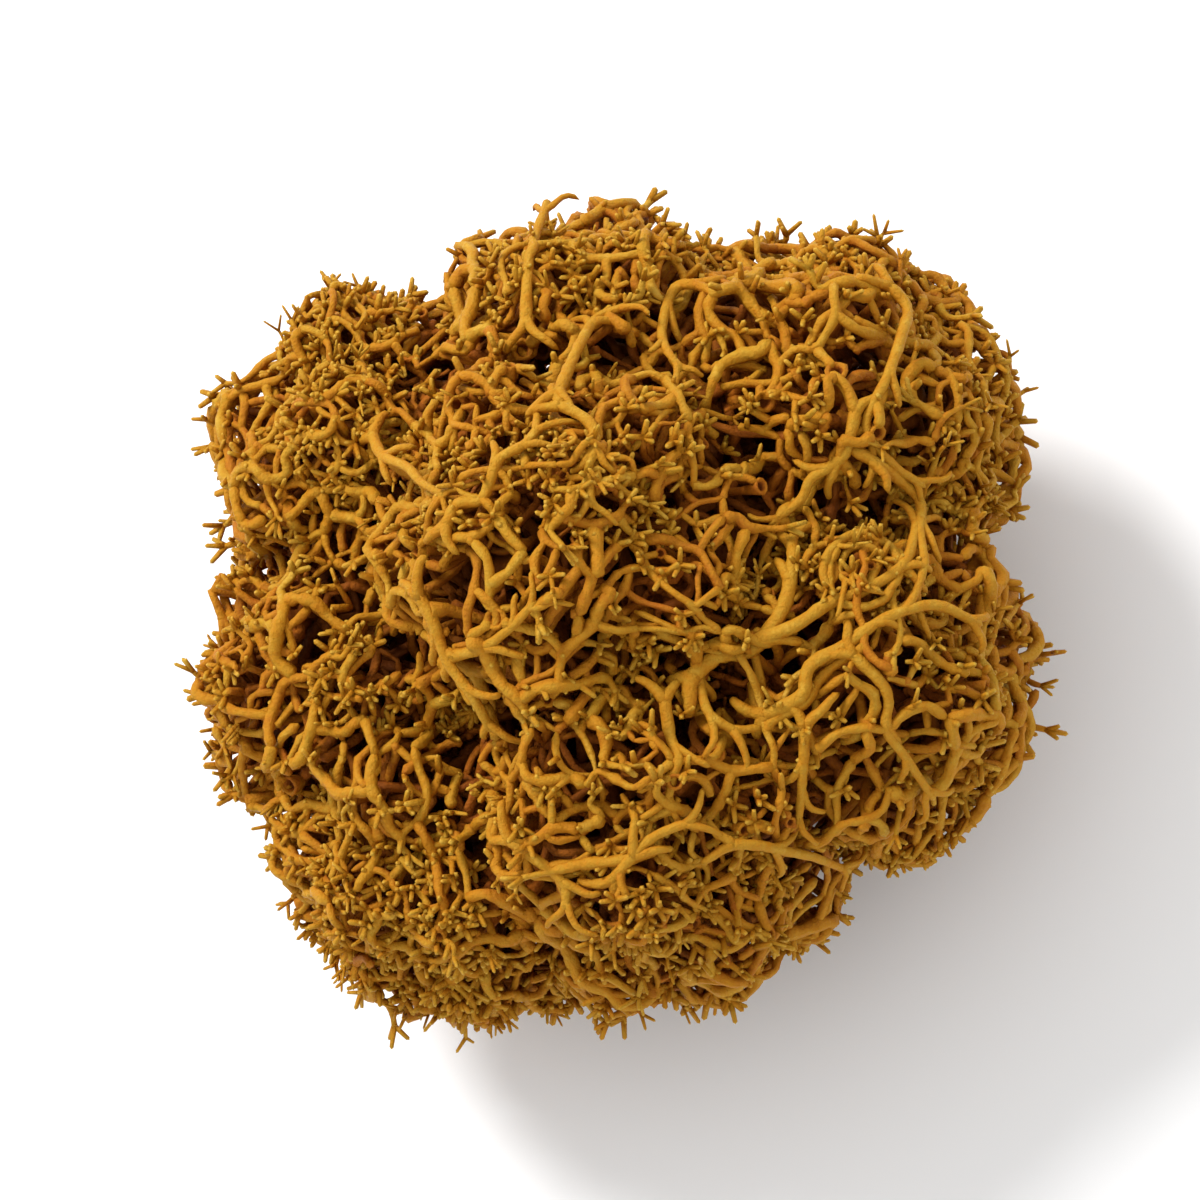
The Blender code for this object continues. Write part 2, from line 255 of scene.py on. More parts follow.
# Thick strands that stand out on top: their radius and the places in the picture that they run through
LEADERS = (
    (0.56, ((5.2, -4.9), (7.0, -3.4), (8.8, -2.7), (10.6, -0.5), (11.6, 2.0), (11.6, 3.8))),
    (0.44, ((8.8, -2.7), (11.6, -1.6), (13.8, -0.2), (16.0, 0.5), (18.1, 2.3), (19.2, 5.2))),
    (0.46, ((9.1, -7.0), (11.6, -5.9), (12.7, -4.1), (14.5, -3.1), (17.0, -1.3), (19.9, -0.5),
            (22.8, -1.3))),
    (0.38, ((17.4, 19.6), (18.8, 18.2), (18.5, 16.4), (17.4, 13.5), (16.0, 10.6), (17.4, 8.5), (19.6, 7.0))),
    (0.38, ((-4.9, 17.1), (-4.9, 19.6), (-4.6, 22.1), (-3.5, 24.7))),
    (0.40, ((-6.0, -14.6), (-4.2, -15.7), (-2.8, -17.5), (-2.4, -18.9))),
    (0.38, ((-9.6, -3.4), (-7.4, -3.1), (-5.6, -2.0), (-4.2, -0.2))),
    (0.42, ((-11.4, 0.5), (-10.3, -1.3), (-9.6, -3.8), (-8.2, -5.6), (-6.7, -8.1))),
    (0.38, ((0.5, -17.5), (1.9, -15.7), (3.4, -14.2), (5.2, -13.5))),
    (0.40, ((-9.9, 4.5), (-8.9, 5.9), (-7.4, 6.3), (-6.3, 8.3), (-4.9, 9.4), (-4.0, 10.3))),
    (0.36, ((-14.6, 10.3), (-13.5, 8.8), (-12.1, 8.1), (-11.0, 7.0), (-9.9, 6.1))),
    (0.38, ((-3.1, 12.4), (-2.2, 14.1), (-1.5, 15.7), (-0.2, 17.5), (1.2, 18.2))),
    (0.38, ((-3.1, 12.4), (-1.3, 10.8), (-0.6, 9.2), (-0.9, 7.8), (-0.9, 5.9))),
    (0.38, ((15.3, 12.1), (15.1, 9.4), (13.8, 8.3), (12.6, 7.4), (11.7, 6.1), (10.4, 4.7))),
    (0.38, ((15.1, 9.4), (16.7, 8.1), (19.1, 6.5), (19.3, 4.1), (19.3, 2.3), (18.9, -0.2))),
    (0.36, ((5.9, 19.5), (4.5, 19.3), (3.4, 16.8), (3.9, 15.3), (4.5, 14.2))),
    (0.40, ((5.9, -3.4), (5.6, -5.2), (6.3, -7.0), (8.1, -8.1))),
    (0.38, ((3.4, -5.9), (4.1, -8.1), (4.8, -9.6), (4.1, -11.0), (3.8, -12.1))),
    (0.38, ((14.9, -3.1), (16.7, -4.9), (17.1, -6.3), (17.1, -8.1), (18.5, -9.9), (20.0, -12.1))),
    (0.42, ((20.0, -12.1), (21.1, -11.0), (21.4, -9.6), (22.1, -8.1))),
    (0.38, ((12.0, -7.4), (12.0, -9.9), (12.0, -12.1), (11.7, -13.9))),
    (0.36, ((7.7, -15.3), (9.2, -15.0), (11.0, -15.3), (12.8, -16.0), (14.9, -17.1))),
)

# Leaders: how deep they lie, how much they stray, their widths from start to end, and how they are drawn
LEADER_DEPTH = (1.3, 1.7)
LEADER_WANDER = 0.15
LEADER_WIDTHS = (1.05, 0.7)
LEADER_UNEVEN = 0.05
LEADER_END = 0.3
LEADER_AGE = 0.16
LEADER_SIDES = 8
LEADER_STEPS = 5

# The arms of a leader, two at each end and two between: which way they run along it and to which side of
# it, how near its ends those between may stand, how they leave, how far they reach ahead, aside and down,
# how they arrive, and how they are drawn
ARM_AHEAD = np.array((-1, -1, 1, 1, 1, 1))
ARM_ASIDE = np.array((-1, 1, -1, 1, -1, 1))
ARMS = len(ARM_AHEAD)
ARM_MARGIN = 4
ARM_SPLAY = (0.2, 0.6)
ARM_REACH_AHEAD, ARM_REACH_ASIDE, ARM_DROP = 1.8, 1.6, 0.8
ARM_LENGTHS = (0.8, 1.3)
ARM_ARRIVE_ASIDE, ARM_ARRIVE_AHEAD = 0.6, 0.3
ARM_WIDTHS = (1.0, 0.6)
ARM_RINGS = 7
ARM_SIDES = 7
ARM_AGE = 0.2

# A strand wound up like a spring: its middle in the picture, its widest and narrowest radius, its turns
COIL = (15.6, 1.6, 2.7, 1.3, 1.6)
COIL_PLACES = 14
COIL_RADIUS = 0.32

# Tips round a place: how many, how long, how far they splay in degrees, and their age from foot to end
Tips = namedtuple("Tips", "count length splay ages")
RUNNER_END_TIPS = Tips(3, 1.15, (20, 50), (0.15, -0.15))
RUNNER_SIDE_TIPS = Tips(1, 1.25, (45, 85), (0.22, -0.1))
STAR_END_TIPS = Tips(2, 1.0, (20, 50), (0.2, -0.15))
STAR_SIDE_TIPS = Tips(1, 1.2, (45, 85), (0.28, -0.1))
TUFT_TIPS = Tips(4, 1.05, (25, 75), (0.25, -0.15))
TIP_LENGTHS = (0.6, 1.2)
TIP_TURN = 0.8
TIP_POINT = 0.14
TIP_RADIUS = 0.26
TIP_WIDTHS = np.array((1.05, 0.78))
TIP_SIDES = 4

# The stars that carry a tuft of tips: which coarseness counts as fine, and the shares of fine and of
# coarse ones
FINE = 0.87
TUFTED = (0.5, 0.15)
TUFT_RADIUS = 0.22

# Painted shade: how much older, and so darker and browner, a strand is coloured on the side that faces
# into its head, where less light reaches it
UNDERSIDE_SHADE = 0.3

GOLDEN_TURN = math.pi * (3 - math.sqrt(5))
FULL_TURN = 2 * math.pi
UPWARD = np.array((0.0, 0.0, 1.0))

# A direction that no axis has by chance, and lengths too short to have a direction
ASKEW = np.array((0.31, 0.52, 0.79))
NO_LENGTH = 1e-9
NO_WAY = 1e-4

# The camera: the picture's width at the clump and the nearest distance that it shows, in metres, and the
# sensor's width in millimetres
FRAME_WIDTH = 0.074
NEAREST_SEEN = 0.05
SENSOR = 36.0

# The light: the lamp's place, aim and size in metres, its power in watts, and the even sky's strength
LAMP_PLACE = Vector((-0.36, 0.42, 0.62))
LAMP_AIM = Vector((0, 0, 0.02))
LAMP_SIZE = 0.30
LAMP_POWER = 7.4
SKY_STRENGTH = 0.97

# Colours by age, from the palest tip to the oldest stem inside, which also paint shade, as deeper parts
# are coloured darker and browner; the tints of the strands' tones, how far mottling shifts the age, and
# the floor's shades and half its width in metres
AGE_AND_SHADE_COLOURS = (
    (0.0, (0.54, 0.315, 0.038)),
    (0.12, (0.45, 0.232, 0.016)),
    (0.3, (0.44, 0.182, 0.007)),
    (0.6, (0.34, 0.098, 0.005)),
    (1.0, (0.16, 0.038, 0.003)),
)
TONE_TINTS = ((0.0, (1.0, 0.92, 0.85)), (1.0, (1.0, 1.03, 1.04)))
MOTTLE = 0.7
FLOOR_SHADES = ((0.0, (0.86, 0.86, 0.86)), (1.0, (0.88, 0.88, 0.88)))
FLOOR_HALF = 1.5


def length(vectors):
    """The length of each vector."""
    return np.linalg.norm(vectors, axis=-1)


def unit(vectors):
    """Vectors scaled to length one."""
    return vectors / np.maximum(length(vectors)[..., None], NO_LENGTH)


def dot(a, b):
    """Row by row dot products, kept as a column."""
    return (a * b).sum(axis=-1, keepdims=True)


def square_to(axes, towards):
    """The unit vectors square to the axes that point most towards the given directions."""
    flat = towards - axes * dot(axes, towards)
    spare = np.cross(axes, ASKEW)
    return unit(np.where(length(flat)[..., None] < NO_WAY, spare, flat))


def turned(axes, around, angle):
    """The directions around the axes, turned about them."""
    return around * np.cos(angle)[:, None] + np.cross(axes, around) * np.sin(angle)[:, None]


def middle_of(head):
    """The middle of a head's ball."""
    return np.array(head[:3])


def cell_planes(name):
    """The planes that part this head's ball from the others, as an array of normals and one of offsets."""
    here = HEADS[name]
    middle = middle_of(here)
    normals, offsets = [], []
    for other_name, other in HEADS.items():
        if other_name != name:
            across = middle_of(other) - middle
            apart = length(across)
            reach = (apart**2 + here.radius**2 - other.radius**2) / (2 * apart)
            normals.append(across / apart)
            offsets.append(across @ middle / apart + reach)
    return np.array(normals), np.array(offsets)


def even_directions(count, turn):
    """Directions spread evenly over a ball."""
    k = np.arange(count)
    height = 1 - (2 * k + 1) / count
    flat = np.sqrt(1 - height**2)
    angle = turn + GOLDEN_TURN * k
    return np.stack((flat * np.cos(angle), flat * np.sin(angle), height), axis=1)


def farthest_first(points, spacing, rng):
    """The places of points picked one by one, each the farthest from those before, until all is covered."""
    taken = [int(rng.integers(len(points)))]
    distance = length(points - points[taken[0]])
    while (distance / spacing).max() > 1:
        taken.append(int((distance / spacing).argmax()))
        distance = np.minimum(distance, length(points - points[taken[-1]]))
    return np.array(taken)


def scattered(points, widths, sweep, stretch):
    """The places of points picked in turn, apart by their mean width and by more along their sweep."""
    taken = []
    for k in range(len(points)):
        gap = points[taken] - points[k]
        gap -= sweep[k] * (gap @ sweep[k])[:, None] * (1 - 1 / stretch)
        if (length(gap) > (widths[taken] + widths[k]) / 2).all():
            taken.append(k)
    return np.array(taken)


def cells_around(middles):
    """The directions where the cells round given ones meet, three at each, and the joined pairs of these."""
    hull = bmesh.new()
    for middle in middles:
        hull.verts.new(middle)
    bmesh.ops.convex_hull(hull, input=hull.verts)
    hull.faces.index_update()
    faces = [[np.array(vertex.co) for vertex in face.verts] for face in hull.faces]
    sides = np.array([[face.index for face in edge.link_faces] for edge in hull.edges])
    hull.free()
    corners = unit(np.array([np.cross(b - a, c - a) for a, b, c in faces]))
    corners *= np.sign(dot(corners, np.array([a for a, _, _ in faces])))
    for _ in range(EVENINGS):
        pull = np.zeros_like(corners)
        np.add.at(pull, sides[:, 0], corners[sides[:, 1]] - corners[sides[:, 0]])
        np.add.at(pull, sides[:, 1], corners[sides[:, 0]] - corners[sides[:, 1]])
        corners = unit(corners + pull / EVENING_PARTS)
    return corners, sides


def view_directions():
    """The directions across and up in the picture and back to the eye."""
    back = np.array((
        math.sin(VIEW_AZIMUTH) * math.cos(VIEW_ELEVATION),
        -math.cos(VIEW_AZIMUTH) * math.cos(VIEW_ELEVATION),
        math.sin(VIEW_ELEVATION),
    ))
    up = unit(np.array((0.0, 1.0, 0.0)) - back * back[1])
    return np.cross(up, back), up, back


def seen(across, up):
    """The place on the heads' balls that shows at a place in the picture, and the way outward there.

    Beside the clump it is the place of the ball that comes nearest.
    """
    right, upward, back = view_directions()
    behind = UPWARD * MIDDLE_HEIGHT + right * across + upward * up
    shown = []
    for head in HEADS.values():
        to_middle = middle_of(head) - behind
        along = to_middle @ back
        inside = head.radius**2 - to_middle @ to_middle + along**2
        front = along + math.sqrt(max(inside, 0))
        shown.append((inside > 0, front if inside > 0 else inside, front, head))
    _, _, front, head = max(shown)
    place = behind + back * front
    return place, unit(place - middle_of(head))


def dig_pits():
    """The mouth, the top, the bottom and the radius of every pit: in the picture and on the sides."""
    rng = np.random.default_rng(SEED)
    back = view_directions()[2]
    above, below = PIT_REACH
    pits = []
    for across, up, radius in PITS:
        mouth, outward = seen(across, up)
        pits.append((mouth, unit(outward + back * PIT_LEAN), radius))
    for head in HEADS.values():
        for _ in range(SIDE_PITS):
            way = rng.normal(size=3)
            way[2] = -abs(way[2]) * SIDE_PIT_FALL + SIDE_PIT_LIFT
            way = unit(way)
            pits.append((middle_of(head) + way * head.radius, way, rng.uniform(*SIDE_PIT_RADIUS)))
    mouths, ways, radii = (np.array(values) for values in zip(*pits))
    return mouths, mouths + ways * above, mouths - ways * below, radii


PIT_MOUTHS, PIT_TOPS, PIT_BOTTOMS, PIT_RADII = dig_pits()


def in_pit(points):
    """Which points lie in a pit."""
    along = PIT_BOTTOMS - PIT_TOPS
    t = ((points[:, None] - PIT_TOPS) * along).sum(axis=2) / (along**2).sum(axis=1)
    nearest = PIT_TOPS + along * np.clip(t, 0, 1)[..., None]
    return (length(points[:, None] - nearest) < PIT_RADII).any(axis=1)


class Skin:
    """A head's bumpy outer surface: small domes a few millimetres across, with shallow valleys between."""

    def __init__(self, name, rng):
        head = HEADS[name]
        self.middle = middle_of(head)
        self.radius = head.radius
        self.normals, self.offsets = cell_planes(name)
        self.rng = rng
        directions = even_directions(DOME_CANDIDATES, 0)
        self.domes = directions[farthest_first(directions, DOME_SPACING / self.radius, rng)]
        self.coarse = rng.uniform(*COARSENESS, len(self.domes))
        self.wave_ways = unit(rng.normal(size=(SWEEP_WAVES, 3)))
        self.wave_fronts = unit(rng.normal(size=(SWEEP_WAVES, 3)))
        self.wave_starts = rng.uniform(0, WAVE_STARTS, SWEEP_WAVES)

    def depth_of_valley(self, directions):
        """How far the skin dips below the ball, from nothing on a dome to its height between domes."""
        angle = np.arccos(np.clip(directions @ self.domes.T, -1, 1)).min(axis=1)
        reach = angle * self.radius / (DOME_SLOPE * DOME_SPACING)
        return DOME_HEIGHT * np.clip(reach, 0, 1) ** 2

    def coarseness(self, directions):
        """How coarse the branches of the nearest dome are, about 1."""
        return self.coarse[(directions @ self.domes.T).argmax(axis=1)]

    def sweep(self, directions):
        """The ways along the skin that the strands sweep, turning slowly from place to place."""
        turn = directions @ self.wave_fronts.T * self.radius * FULL_TURN / SWEEP_LENGTH + self.wave_starts
        return square_to(directions, np.sin(turn) @ self.wave_ways)

    def room(self, points):
        """How far points are inside the head's cell."""
        return (self.offsets - points @ self.normals.T).min(axis=1)

    def free(self, points, level):
        """Which points have the level's room in the head's cell and lie above the ground and in no pit."""
        inside = (self.room(points) > level.room) & (points[:, 2] > LOWEST_FORK)
        return inside & ~in_pit(points)

    def under(self, directions, level):
        """The points in given directions at a level's depth under the skin."""
        depth = level.depth + level.spread * self.rng.uniform(-1, 1, len(directions))
        return self.middle + directions * (self.radius - depth - self.depth_of_valley(directions))[:, None]

    def forks(self, level):
        """Places of one level's forks and the skin's outward direction there."""
        directions = even_directions(FORK_CANDIDATES, self.rng.uniform(0, FULL_TURN))
        points = self.under(directions, level)
        free = self.free(points, level)
        points, directions = points[free], directions[free]
        taken = farthest_first(points, level.spacing * self.coarseness(directions), self.rng)
        return points[taken], directions[taken]

    def cells(self, level):
        """A net of rounded cells over the skin, one of them round every pit: its corners and its sides."""
        rng = self.rng
        mouths = PIT_MOUTHS - self.middle
        near = abs(length(mouths) - self.radius) < PIT_NEAR
        middles = rng.permutation(even_directions(FORK_CANDIDATES, rng.uniform(0, FULL_TURN)))
        widths = level.spacing * self.coarseness(middles) * rng.uniform(*CELL_SPREAD, len(middles))
        middles = np.concatenate((unit(mouths[near]), middles))
        widths = np.concatenate((2 * (PIT_RADII[near] + PIT_RIM), widths))
        sweep = self.sweep(middles)
        sweep[:near.sum()] = 0
        taken = scattered(middles * self.radius, widths, sweep, level.stretch)
        corners, sides = cells_around(middles[taken])
        corners = unit(corners + self.sweep(corners[:, ::-1]) * CORNER_STRAY / self.radius)
        points = self.under(corners, level)
        free = self.free(points, level)
        place = np.cumsum(free) - 1
        sides = sides[free[sides].all(axis=1) & (rng.uniform(size=len(sides)) > GAPS)]
        return points[free], corners[free], place[sides]


def raised(points):
    """Points, with those too near the ground raised until a tube has room under them."""
    points[..., 2] = np.maximum(points[..., 2], LOWEST_CENTRE)
    return points


def curve(start, leave, end, arrive, count, bend, rng):
    """Points along soft curves between places, with a slight wander, and the directions there."""
    t = np.linspace(0, 1, count)[None, :, None]
    span = length(end - start)[:, None, None]
    start, end = start[:, None], end[:, None]
    leave, arrive = leave[:, None] * span * bend, arrive[:, None] * span * bend
    points = start * (2 * t**3 - 3 * t**2 + 1) + leave * (t**3 - 2 * t**2 + t)
    points = points + end * (3 * t**2 - 2 * t**3) + arrive * (t**3 - t**2)
    sway = unit(rng.normal(size=(len(start), 1, 3))) * rng.uniform(*SWAY, (len(start), 1, 1))
    phase = t + rng.uniform(size=sway.shape)
    points = raised(points + sway * span * np.sin(math.pi * t) * np.sin(FULL_TURN * phase))
    return points, unit(np.gradient(points, axis=1))


def spline(controls, steps):
    """Points along smooth curves through all controls but the first and last, and the directions there."""
    count = controls.shape[1] - 3
    before, here, there, after = (controls[:, k:k + count, None] for k in range(4))
    t = (np.arange(steps) / steps)[:, None]
    points = 2 * here + (there - before) * t + (2 * before - 5 * here + 4 * there - after) * t**2
    points = (points + (3 * here - before - 3 * there + after) * t**3) / 2
    points = raised(np.concatenate((points.reshape(len(controls), -1, 3), controls[:, -2:-1]), axis=1))
    return points, unit(np.gradient(points, axis=1))


def blunt(centres, axes, lengths):
    """Tubes' centres with an end point beyond the last of each."""
    ends = centres[:, -1] + axes[:, -1] * lengths
    return np.concatenate((centres, ends[:, None]), axis=1)


def ring_places(centres, axes, radii, sides, rng):
    """The corners of tubes' rings, which stand square to the axes and are slightly lumpy."""
    tubes, rings = radii.shape
    turn = FULL_TURN * np.arange(sides) / sides
    side = square_to(axes[:, 0], rng.normal(size=(tubes, 3)))
    places = []
    for k in range(rings):
        side = square_to(axes[:, k], side)
        other = np.cross(axes[:, k], side)
        spokes = side[:, None] * np.cos(turn)[:, None] + other[:, None] * np.sin(turn)[:, None]
        lumps = 1 + rng.normal(0, LUMPS, (tubes, sides, 1))
        places.append(centres[:, k, None] + spokes * radii[:, k, None, None] * lumps)
    return np.stack(places, axis=1).reshape(tubes, rings * sides, 3)


class Piece:
    """The tubes of one podetium, gathered before they become a mesh."""

    def __init__(self, head):
        self.middle = middle_of(head)
        self.points = []
        self.faces = []
        self.ages = []
        self.tones = []
        self.count = 0

    def sweep(self, centres, axes, radii, sides, age, tone, rng):
        """Adds closed tubes along their rings' centres. The last centre and age are the end point's."""
        tubes, rings = radii.shape
        places = ring_places(centres, axes, radii, sides, rng)
        outward = unit(places - self.middle)
        facing = dot(unit(places - np.repeat(centres[:, :rings], sides, axis=1)), outward)[..., 0]
        # Painted shade: ring corners that face into the head are given a higher age and so a darker, browner
        # colour
        shaded_age = np.repeat(age[:, :rings], sides, axis=1) + UNDERSIDE_SHADE * (1 - facing) / 2
        self.points.append(np.concatenate((places, centres[:, -1:]), axis=1).reshape(-1, 3))
        self.ages.append(np.concatenate((shaded_age, age[:, -1:]), axis=1).ravel())
        self.tones.append(np.repeat(tone, rings * sides + 1))
        self.close(tubes, rings, sides)

    def close(self, tubes, rings, sides):
        """Adds the faces of tubes: walls along them, fans at their end points and caps at their starts."""
        first = self.count + np.arange(tubes)[:, None, None] * (rings * sides + 1)
        ring = np.arange(rings - 1)[:, None] * sides
        corner = np.arange(sides)
        after = (corner + 1) % sides
        walls = np.stack((ring + corner, ring + after, ring + sides + after, ring + sides + corner), axis=-1)
        last = (rings - 1) * sides
        fans = np.stack((last + corner, last + after, np.full(sides, rings * sides)), axis=-1)
        self.faces += (first[..., None] + walls[None]).reshape(-1, 4).tolist()
        self.faces += (first + fans[None]).reshape(-1, 3).tolist()
        self.faces += (first[:, 0] + corner[::-1]).tolist()
        self.count += tubes * (rings * sides + 1)

    def to_object(self, name, material):
        """The gathered tubes as one smooth mesh."""
        mesh = bpy.data.meshes.new(name)
        mesh.from_pydata((np.concatenate(self.points) * MM).tolist(), [], self.faces)
        mesh.shade_smooth()
        for label, values in (("age", self.ages), ("tone", self.tones)):
            attribute = mesh.attributes.new(label, "FLOAT", "POINT")
            attribute.data.foreach_set("value", np.concatenate(values).astype(np.float32))
        mesh.materials.append(material)
        return add_object(name, mesh)


class Forks:
    """Forks whose branches are drawn: places, directions, cups, tones, sizes, and the podetium of each."""

    FIELDS = ("points", "axes", "outward", "rims", "tones", "sizes", "owners")

    def __init__(self, *values):
        for field, value in zip(self.FIELDS, values):
            setattr(self, field, value)

    def __len__(self):
        return len(self.points)

    def pick(self, places):
        """The forks at these places, in that order."""
        return Forks(*(getattr(self, field)[places] for field in self.FIELDS))

    @classmethod
    def joined(cls, groups):
        """All forks of several groups together."""
        return cls(*(np.concatenate([getattr(g, field) for g in groups]) for field in cls.FIELDS))


def flared(radii, rims, start):
    """Radii that widen to a cup's rim over the last part of each branch."""
    t = np.linspace(0, 1, radii.shape[1])
    return radii + (rims[:, None] - radii) * np.clip((t - start) / (1 - start), 0, 1) ** 2


def with_cups(centres, axes, radii, rims, ages):
    """Branches whose ends turn over into an open cup: lip, inner wall and bottom point, the inside coloured
    darkest as painted shade.
    """
    heights = CUP_HEIGHTS[:, None] * rims[:, None, None] / PROFILE_RIM
    cups = centres[:, -1][:, None] + axes[:, -1][:, None] * heights
    line = np.concatenate((centres, cups), axis=1)
    way = np.concatenate((axes, np.repeat(axes[:, -1:], len(CUP_WIDTHS), axis=1)), axis=1)
    widths = np.concatenate((radii, rims[:, None] * CUP_WIDTHS), axis=1)
    # Painted shade: the cup's inner wall and bottom point get the darkest colour
    inside = np.full((len(ages), 2), HOLLOW_SHADE_AGE)
    return line, way, widths, np.concatenate((ages, ages[:, -1:], ages[:, -1:], inside), axis=1)


def cup_rims(level, sizes, rng):
    """The radii of a level's cups, a few of them wider."""
    count = len(sizes)
    rims = level.rim * sizes * rng.uniform(*CUP_SIZES, count)
    wide = rng.uniform(size=count) < WIDE_CUPS
    return np.where(wide, rims * rng.uniform(*WIDE_CUP_SIZES, count), rims)


def branch_lines(root, points, outward, steps, rng):
    """The curves of branches from the rims of their roots' cups to given points."""
    around = square_to(root.axes, points - root.points + rng.normal(0, SEAT_STRAY, points.shape))
    start = root.points + around * root.rims[:, None] * SEAT_ON_RIM - root.axes * SEAT_DEPTH
    ahead = unit(points - start)
    leave = unit(root.axes * LEAVE_ALONG + around * LEAVE_AROUND + ahead * LEAVE_AHEAD)
    stray = rng.normal(0, ARRIVE_STRAY, points.shape)
    arrive = unit(ahead * ARRIVE_AHEAD + outward * ARRIVE_OUTWARD + stray)
    return curve(start, leave, points, arrive, steps, BEND, rng)


def draw_branches(piece, below, skin, level, rng, places=None):
    """Draws a branch to each fork of a level from the nearest fork below it, a share of them with cups."""
    points, outward = skin.forks(level) if places is None else places
    sizes = skin.coarseness(outward)
    root = below.pick(length(points[:, None] - below.points).argmin(axis=1))
    count, steps = len(points), level.steps
    cupped = rng.uniform(size=count) < level.cups
    bare = ~cupped
    rims = cup_rims(level, sizes, rng)
    centres, axes = branch_lines(root, points, outward, steps, rng)
    radius = level.radius * sizes * rng.uniform(*BRANCH_WIDTHS, count)
    swell = 1 + BRANCH_ROOT * (1 - np.clip(np.linspace(0, 1, steps) / BRANCH_ROOT_LENGTH, 0, 1))
    radii = radius[:, None] * (swell + BRANCH_UNEVEN * rng.normal(size=(count, steps)))
    tones = np.clip(root.tones + rng.normal(0, TONE_DRIFT, count), 0, 1)
    ages = np.tile(np.linspace(*level.ages, steps), (count, 1))
    if bare.any():
        line = blunt(centres[bare], axes[bare], radius[bare, None] * BLUNT_END)
        piece.sweep(line, axes[bare], radii[bare], level.sides, ages[bare], tones[bare], rng)
    if cupped.any():
        radii = flared(radii, rims, FLARE_START)
        shape = with_cups(*(values[cupped] for values in (centres, axes, radii, rims, ages)))
        line, way, widths, shaded_age = shape
        piece.sweep(line, way, widths, max(level.sides, CUP_SIDES), shaded_age, tones[cupped], rng)
    return Forks(points, axes[:, -1], outward, np.where(cupped, rims, 0), tones, sizes, root.owners)


def stem_feet(boughs, name, rng):
    """The middles of the stems' cut ends: a ring at the head's foot, turned so that no stems cross."""
    middle = middle_of(HEADS[name])
    foot = middle * np.array((FOOT_INSET, FOOT_INSET, 0))
    count = len(boughs)
    bearing = np.arctan2(*(boughs - middle)[:, 1::-1].T)
    turn = bearing.argsort().argsort() + rng.uniform(-STEM_TURN, STEM_TURN, count)
    bearing = turn * FULL_TURN / count - math.pi
    ring = max(STEM_PITCH / math.sin(math.pi / max(count, 2)), STEM_RING)
    spread = np.full(count, ring) * rng.uniform(*STEM_STRAY, count)
    return foot + np.stack((np.cos(bearing), np.sin(bearing), np.zeros(count)), axis=1) * spread[:, None]


def draw_stems(piece, name, skin, rng):
    """Draws the stems, each from its own hollow cut end on the ground up to a bough."""
    boughs, outward = skin.forks(BOUGHS)
    cut = stem_feet(boughs, name, rng)
    count, steps = len(boughs), BOUGHS.steps
    radius = rng.uniform(*STEM_RADIUS, count)
    up = np.broadcast_to(UPWARD, boughs.shape)
    start = cut + up * CUT_TOP
    arrive = unit(unit(boughs - start) * STEM_AHEAD + outward * STEM_OUTWARD)
    centres, axes = curve(start, up, boughs, arrive, steps, 1, rng)
    rims = BOUGHS.rim * rng.uniform(*STEM_CUPS, count)
    swell = 1 + STEM_UNEVEN * rng.normal(size=(count, steps))
    radii = flared(radius[:, None] * swell, rims, STEM_FLARE_START)
    ages = np.tile(np.linspace(*BOUGHS.ages, steps), (count, 1))
    line, way, widths, shaded_age = with_cups(centres, axes, radii, rims, ages)
    line = np.concatenate((cut[:, None] + up[:, None] * CUT_HEIGHTS[:, None], line), axis=1)
    way = np.concatenate((np.repeat(up[:, None], len(CUT_HEIGHTS), axis=1), way), axis=1)
    widths = np.concatenate((radius[:, None] * CUT_WIDTHS, widths), axis=1)
    shaded_age = np.concatenate((np.tile(CUT_AGES, (count, 1)), shaded_age), axis=1)
    tones = rng.uniform(*STEM_TONES, count)
    piece.sweep(line, way, widths, BOUGHS.sides, shaded_age, tones, rng)
    owners = np.full(count, list(HEADS).index(name))
    return Forks(boughs, axes[:, -1], outward, rims, tones, skin.coarseness(outward), owners)


def edges_between(points, reach, rng):
    """Pairs of near points with no third one nearer to both, and a few more, as in a net of forks."""
    gap = length(points[:, None] - points)
    first, second = np.nonzero(np.triu(gap < reach, 1))
    rows = np.arange(len(first))
    edge = gap[first, second]
    farther = np.maximum(gap[first], gap[second])
    farther[rows, first] = farther[rows, second] = np.inf
    strict = np.where(rng.uniform(size=len(first)) < EXTRA_EDGES, NEAR_THIRD, 1)
    free = farther.min(axis=1) > edge * strict
    return list(zip(first[free].tolist(), second[free].tolist()))


def loose_edges(forks, net, rng):
    """The edges of an irregular net over forks, with only short ones across the seams between heads."""
    edges = []
    for i, j in edges_between(forks.points, net.reach, rng):
        gap = forks.points[j] - forks.points[i]
        far = forks.owners[i] != forks.owners[j] and length(gap) > ACROSS_SEAMS * net.reach
        if not far and not in_pit(forks.points[i] + gap * PIT_TESTS).any():
            edges.append((i, j))
    return edges


def across_seams(forks, net, cell_sides, rng):
    """The sides of the cells, and edges that join their open corners across the seams between heads."""
    open_corners = np.flatnonzero(np.bincount(cell_sides.ravel(), minlength=len(forks)) < 3)
    edges = [tuple(side) for side in cell_sides.tolist()]
    for a, b in edges_between(forks.points[open_corners], net.reach, rng):
        i, j = int(open_corners[a]), int(open_corners[b])
        if forks.owners[i] != forks.owners[j]:
            edges.append((i, j))
    return edges


